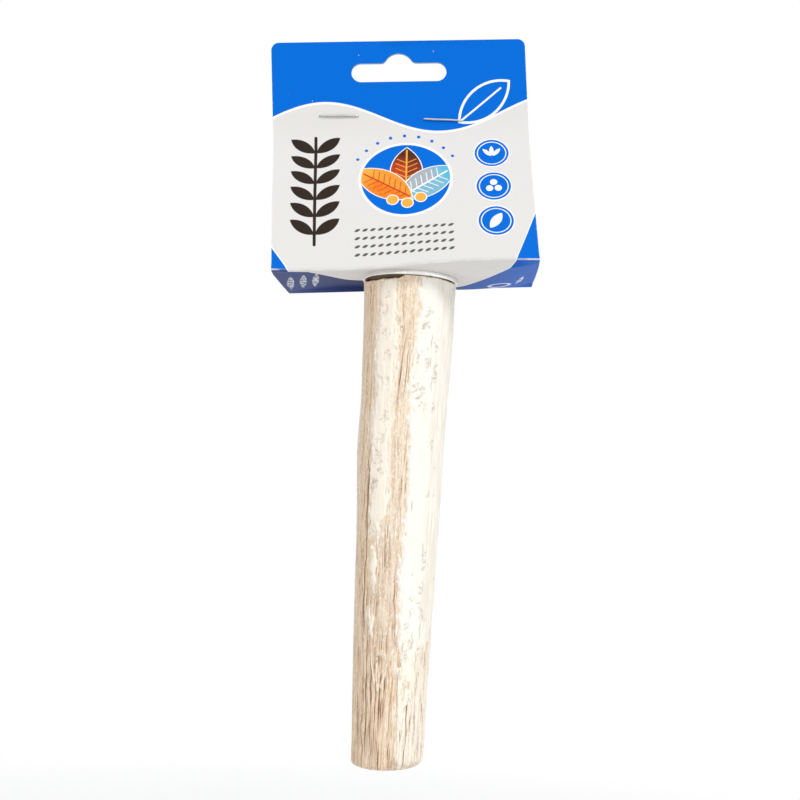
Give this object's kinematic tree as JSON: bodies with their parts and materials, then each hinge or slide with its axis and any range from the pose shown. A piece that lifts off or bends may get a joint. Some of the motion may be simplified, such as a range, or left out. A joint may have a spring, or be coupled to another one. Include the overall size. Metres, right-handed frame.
{
  "type": "bird perch",
  "caption": "Calcium-coated wooden bird perch with a hanger bolt, two clamping washers and a wing nut, bolted to a folded card header with a hang slot.",
  "frame": {"origin": "centre of the clamping face, the top of the washer that lies on the branch's mounting end, on the bolt's axis", "axes": "+Z along the bolt away from the branch, towards the header card; +X to the right and +Y away from a viewer who faces the card's printed front"},
  "size_m": [0.088, 0.04, 0.2314],
  "materials": {
    "wood": "bare, open-grained, unvarnished",
    "calcium": "matt, chalky, trowelled thin",
    "zinc_steel": "bright zinc plating",
    "nut_metal": "bright zinc plating over a cast surface",
    "printed_board": "white board, printed and gloss varnished outside, bare inside",
    "staple_wire": "galvanised wire"
  },
  "bodies": {
    "perch": {"perch_rod": "wood", "calcium_coat": "calcium", "hanger_bolt": "zinc_steel", "perch_washer": "zinc_steel"},
    "clamp_washer": {"cage_washer": "zinc_steel"},
    "nut": {"wing_nut": "nut_metal"},
    "header": {"header_card": "printed_board", "staple_left": "staple_wire", "staple_right": "staple_wire"}
  },
  "joints": [
    {"name": "header_swivel", "type": "hinge", "parent": "perch", "child": "header", "pos_m": [0, 0, 0], "axis": [0, 0, 1], "continuous": true},
    {"name": "washer_lift", "type": "slide", "parent": "perch", "child": "clamp_washer", "axis": [0, 0, 1], "range_m": [0, 0.004]},
    {"name": "nut_turn", "type": "hinge", "parent": "clamp_washer", "child": "nut", "pos_m": [0, 0, 0.002], "axis": [0, 0, 1], "range_deg": [0, 1440]}
  ],
  "couplings": [
    {"joint": "washer_lift", "follows": "nut_turn", "m_per_rad": 0.00015915}
  ]
}
